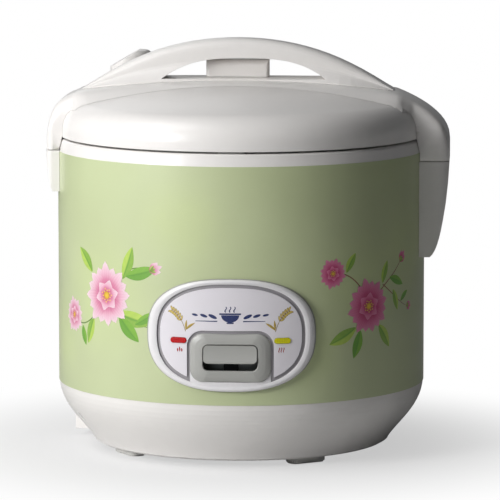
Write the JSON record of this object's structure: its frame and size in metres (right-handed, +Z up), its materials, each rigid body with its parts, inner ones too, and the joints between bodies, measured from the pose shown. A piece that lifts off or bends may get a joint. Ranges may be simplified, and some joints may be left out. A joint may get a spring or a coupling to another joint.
{
  "type": "rice cooker",
  "caption": "Round jar rice cooker: printed steel shell, domed hinged lid with carry handle and steam vent, cook switch panel in front, and the inner pot, heater and thermostat inside.",
  "frame": {"origin": "on the floor, under the middle of the round body", "axes": "+Z up, -Y the side with the cook switch, +X to the right as seen from that side"},
  "size_m": [0.284, 0.2759, 0.2904],
  "materials": {
    "shell_paint": "satin printed sheet",
    "white_plastic": "gloss",
    "inner_plastic": "matte",
    "panel_film": "satin",
    "grey_plastic": "satin",
    "foot_rubber": "matte",
    "seal_rubber": "matte",
    "red_lens": "clear gloss",
    "yellow_lens": "clear gloss",
    "lamp_glass": "clear",
    "circuit_board": "satin",
    "sheet_steel": "galvanised",
    "pin_steel": "polished",
    "spring_steel": "bright wire",
    "cast_aluminium": "turned casting",
    "sheet_aluminium": "satin",
    "pot_coating": "non-stick coating",
    "heater_tube": "annealed",
    "band_foil": "foil",
    "ferrite": "sintered",
    "fuse_sleeve": "woven glass sleeve",
    "switch_case": "matte",
    "contact_brass": "plated"
  },
  "bodies": {
    "cooker_body": {"outer_shell": "shell_paint", "base_tub": "white_plastic", "bottom_plate": "sheet_steel", "feet": "foot_rubber", "collar": "white_plastic", "right_side_cover": "white_plastic", "left_side_cover": "white_plastic", "inner_can": "sheet_steel", "keep_warm_band": "band_foil", "heating_plate": "cast_aluminium", "heating_element": "heater_tube", "plate_supports": "sheet_steel", "thermal_fuse": "fuse_sleeve", "thermostat_cage": "sheet_steel", "sensor_spring": "spring_steel", "lever_bracket": "sheet_steel", "lever_pin": "pin_steel", "micro_switch": "switch_case", "panel_frame": "white_plastic", "panel_plate": "panel_film", "switch_bezel": "grey_plastic", "cook_lens": "red_lens", "warm_lens": "yellow_lens", "lamp_board": "circuit_board", "lamps": "lamp_glass", "inlet_housing": "white_plastic", "inlet_pins": "contact_brass", "inner_pot": "pot_coating", "hinge_bracket": "white_plastic", "hinge_pin": "pin_steel", "hinge_spring": "spring_steel"},
    "lid": {"lid_cover": "white_plastic", "lid_shoulders": "white_plastic", "lid_hinge_arm": "white_plastic", "carry_handle": "white_plastic", "lid_inner_panel": "inner_plastic", "inner_lid_plate": "sheet_aluminium", "lid_gasket": "seal_rubber", "lid_grommet": "seal_rubber", "vent_tube": "inner_plastic", "latch_spring": "spring_steel"},
    "vent": {"vent_cap": "white_plastic"},
    "latch": {"release_button": "white_plastic", "latch_bar": "inner_plastic"},
    "switch_lever": {"cook_lever": "sheet_steel", "cook_button": "grey_plastic"},
    "magnet": {"magnet_rod": "ferrite"},
    "sensor": {"sensor_cup": "sheet_aluminium", "sensor_ferrite": "ferrite", "magnet_spring": "spring_steel"}
  },
  "joints": [
    {"name": "lid_hinge", "type": "hinge", "parent": "cooker_body", "child": "lid", "pos_m": [0, 0.1345, 0.225], "axis": [-1, 0, 0], "range_deg": [0, 95]},
    {"name": "latch_slide", "type": "slide", "parent": "lid", "child": "latch", "axis": [0, 1, 0], "range_m": [0, 0.0035], "stiffness_N_per_m": 400, "springref_m": -0.002, "deforming": ["latch_spring"]},
    {"name": "vent_cap_lift", "type": "slide", "parent": "lid", "child": "vent", "axis": [0, 0, 1], "range_m": [0, 0.024]},
    {"name": "cook_switch", "type": "hinge", "parent": "cooker_body", "child": "switch_lever", "pos_m": [0, -0.062, 0.056], "axis": [1, 0, 0], "range_deg": [0, 3.4], "stiffness_Nm_per_rad": 0.35, "springref_deg": -2.86},
    {"name": "magnet_lift", "type": "slide", "parent": "cooker_body", "child": "magnet", "axis": [0, 0, 1], "range_m": [0, 0.0037], "deforming": ["magnet_spring"]},
    {"name": "sensor_press", "type": "slide", "parent": "cooker_body", "child": "sensor", "axis": [0, 0, -1], "range_m": [0, 0.002], "stiffness_N_per_m": 600, "springref_m": -0.004, "deforming": ["sensor_spring"]}
  ],
  "couplings": [
    {"joint": "magnet_lift", "follows": "cook_switch", "m_per_rad": 0.062}
  ]
}
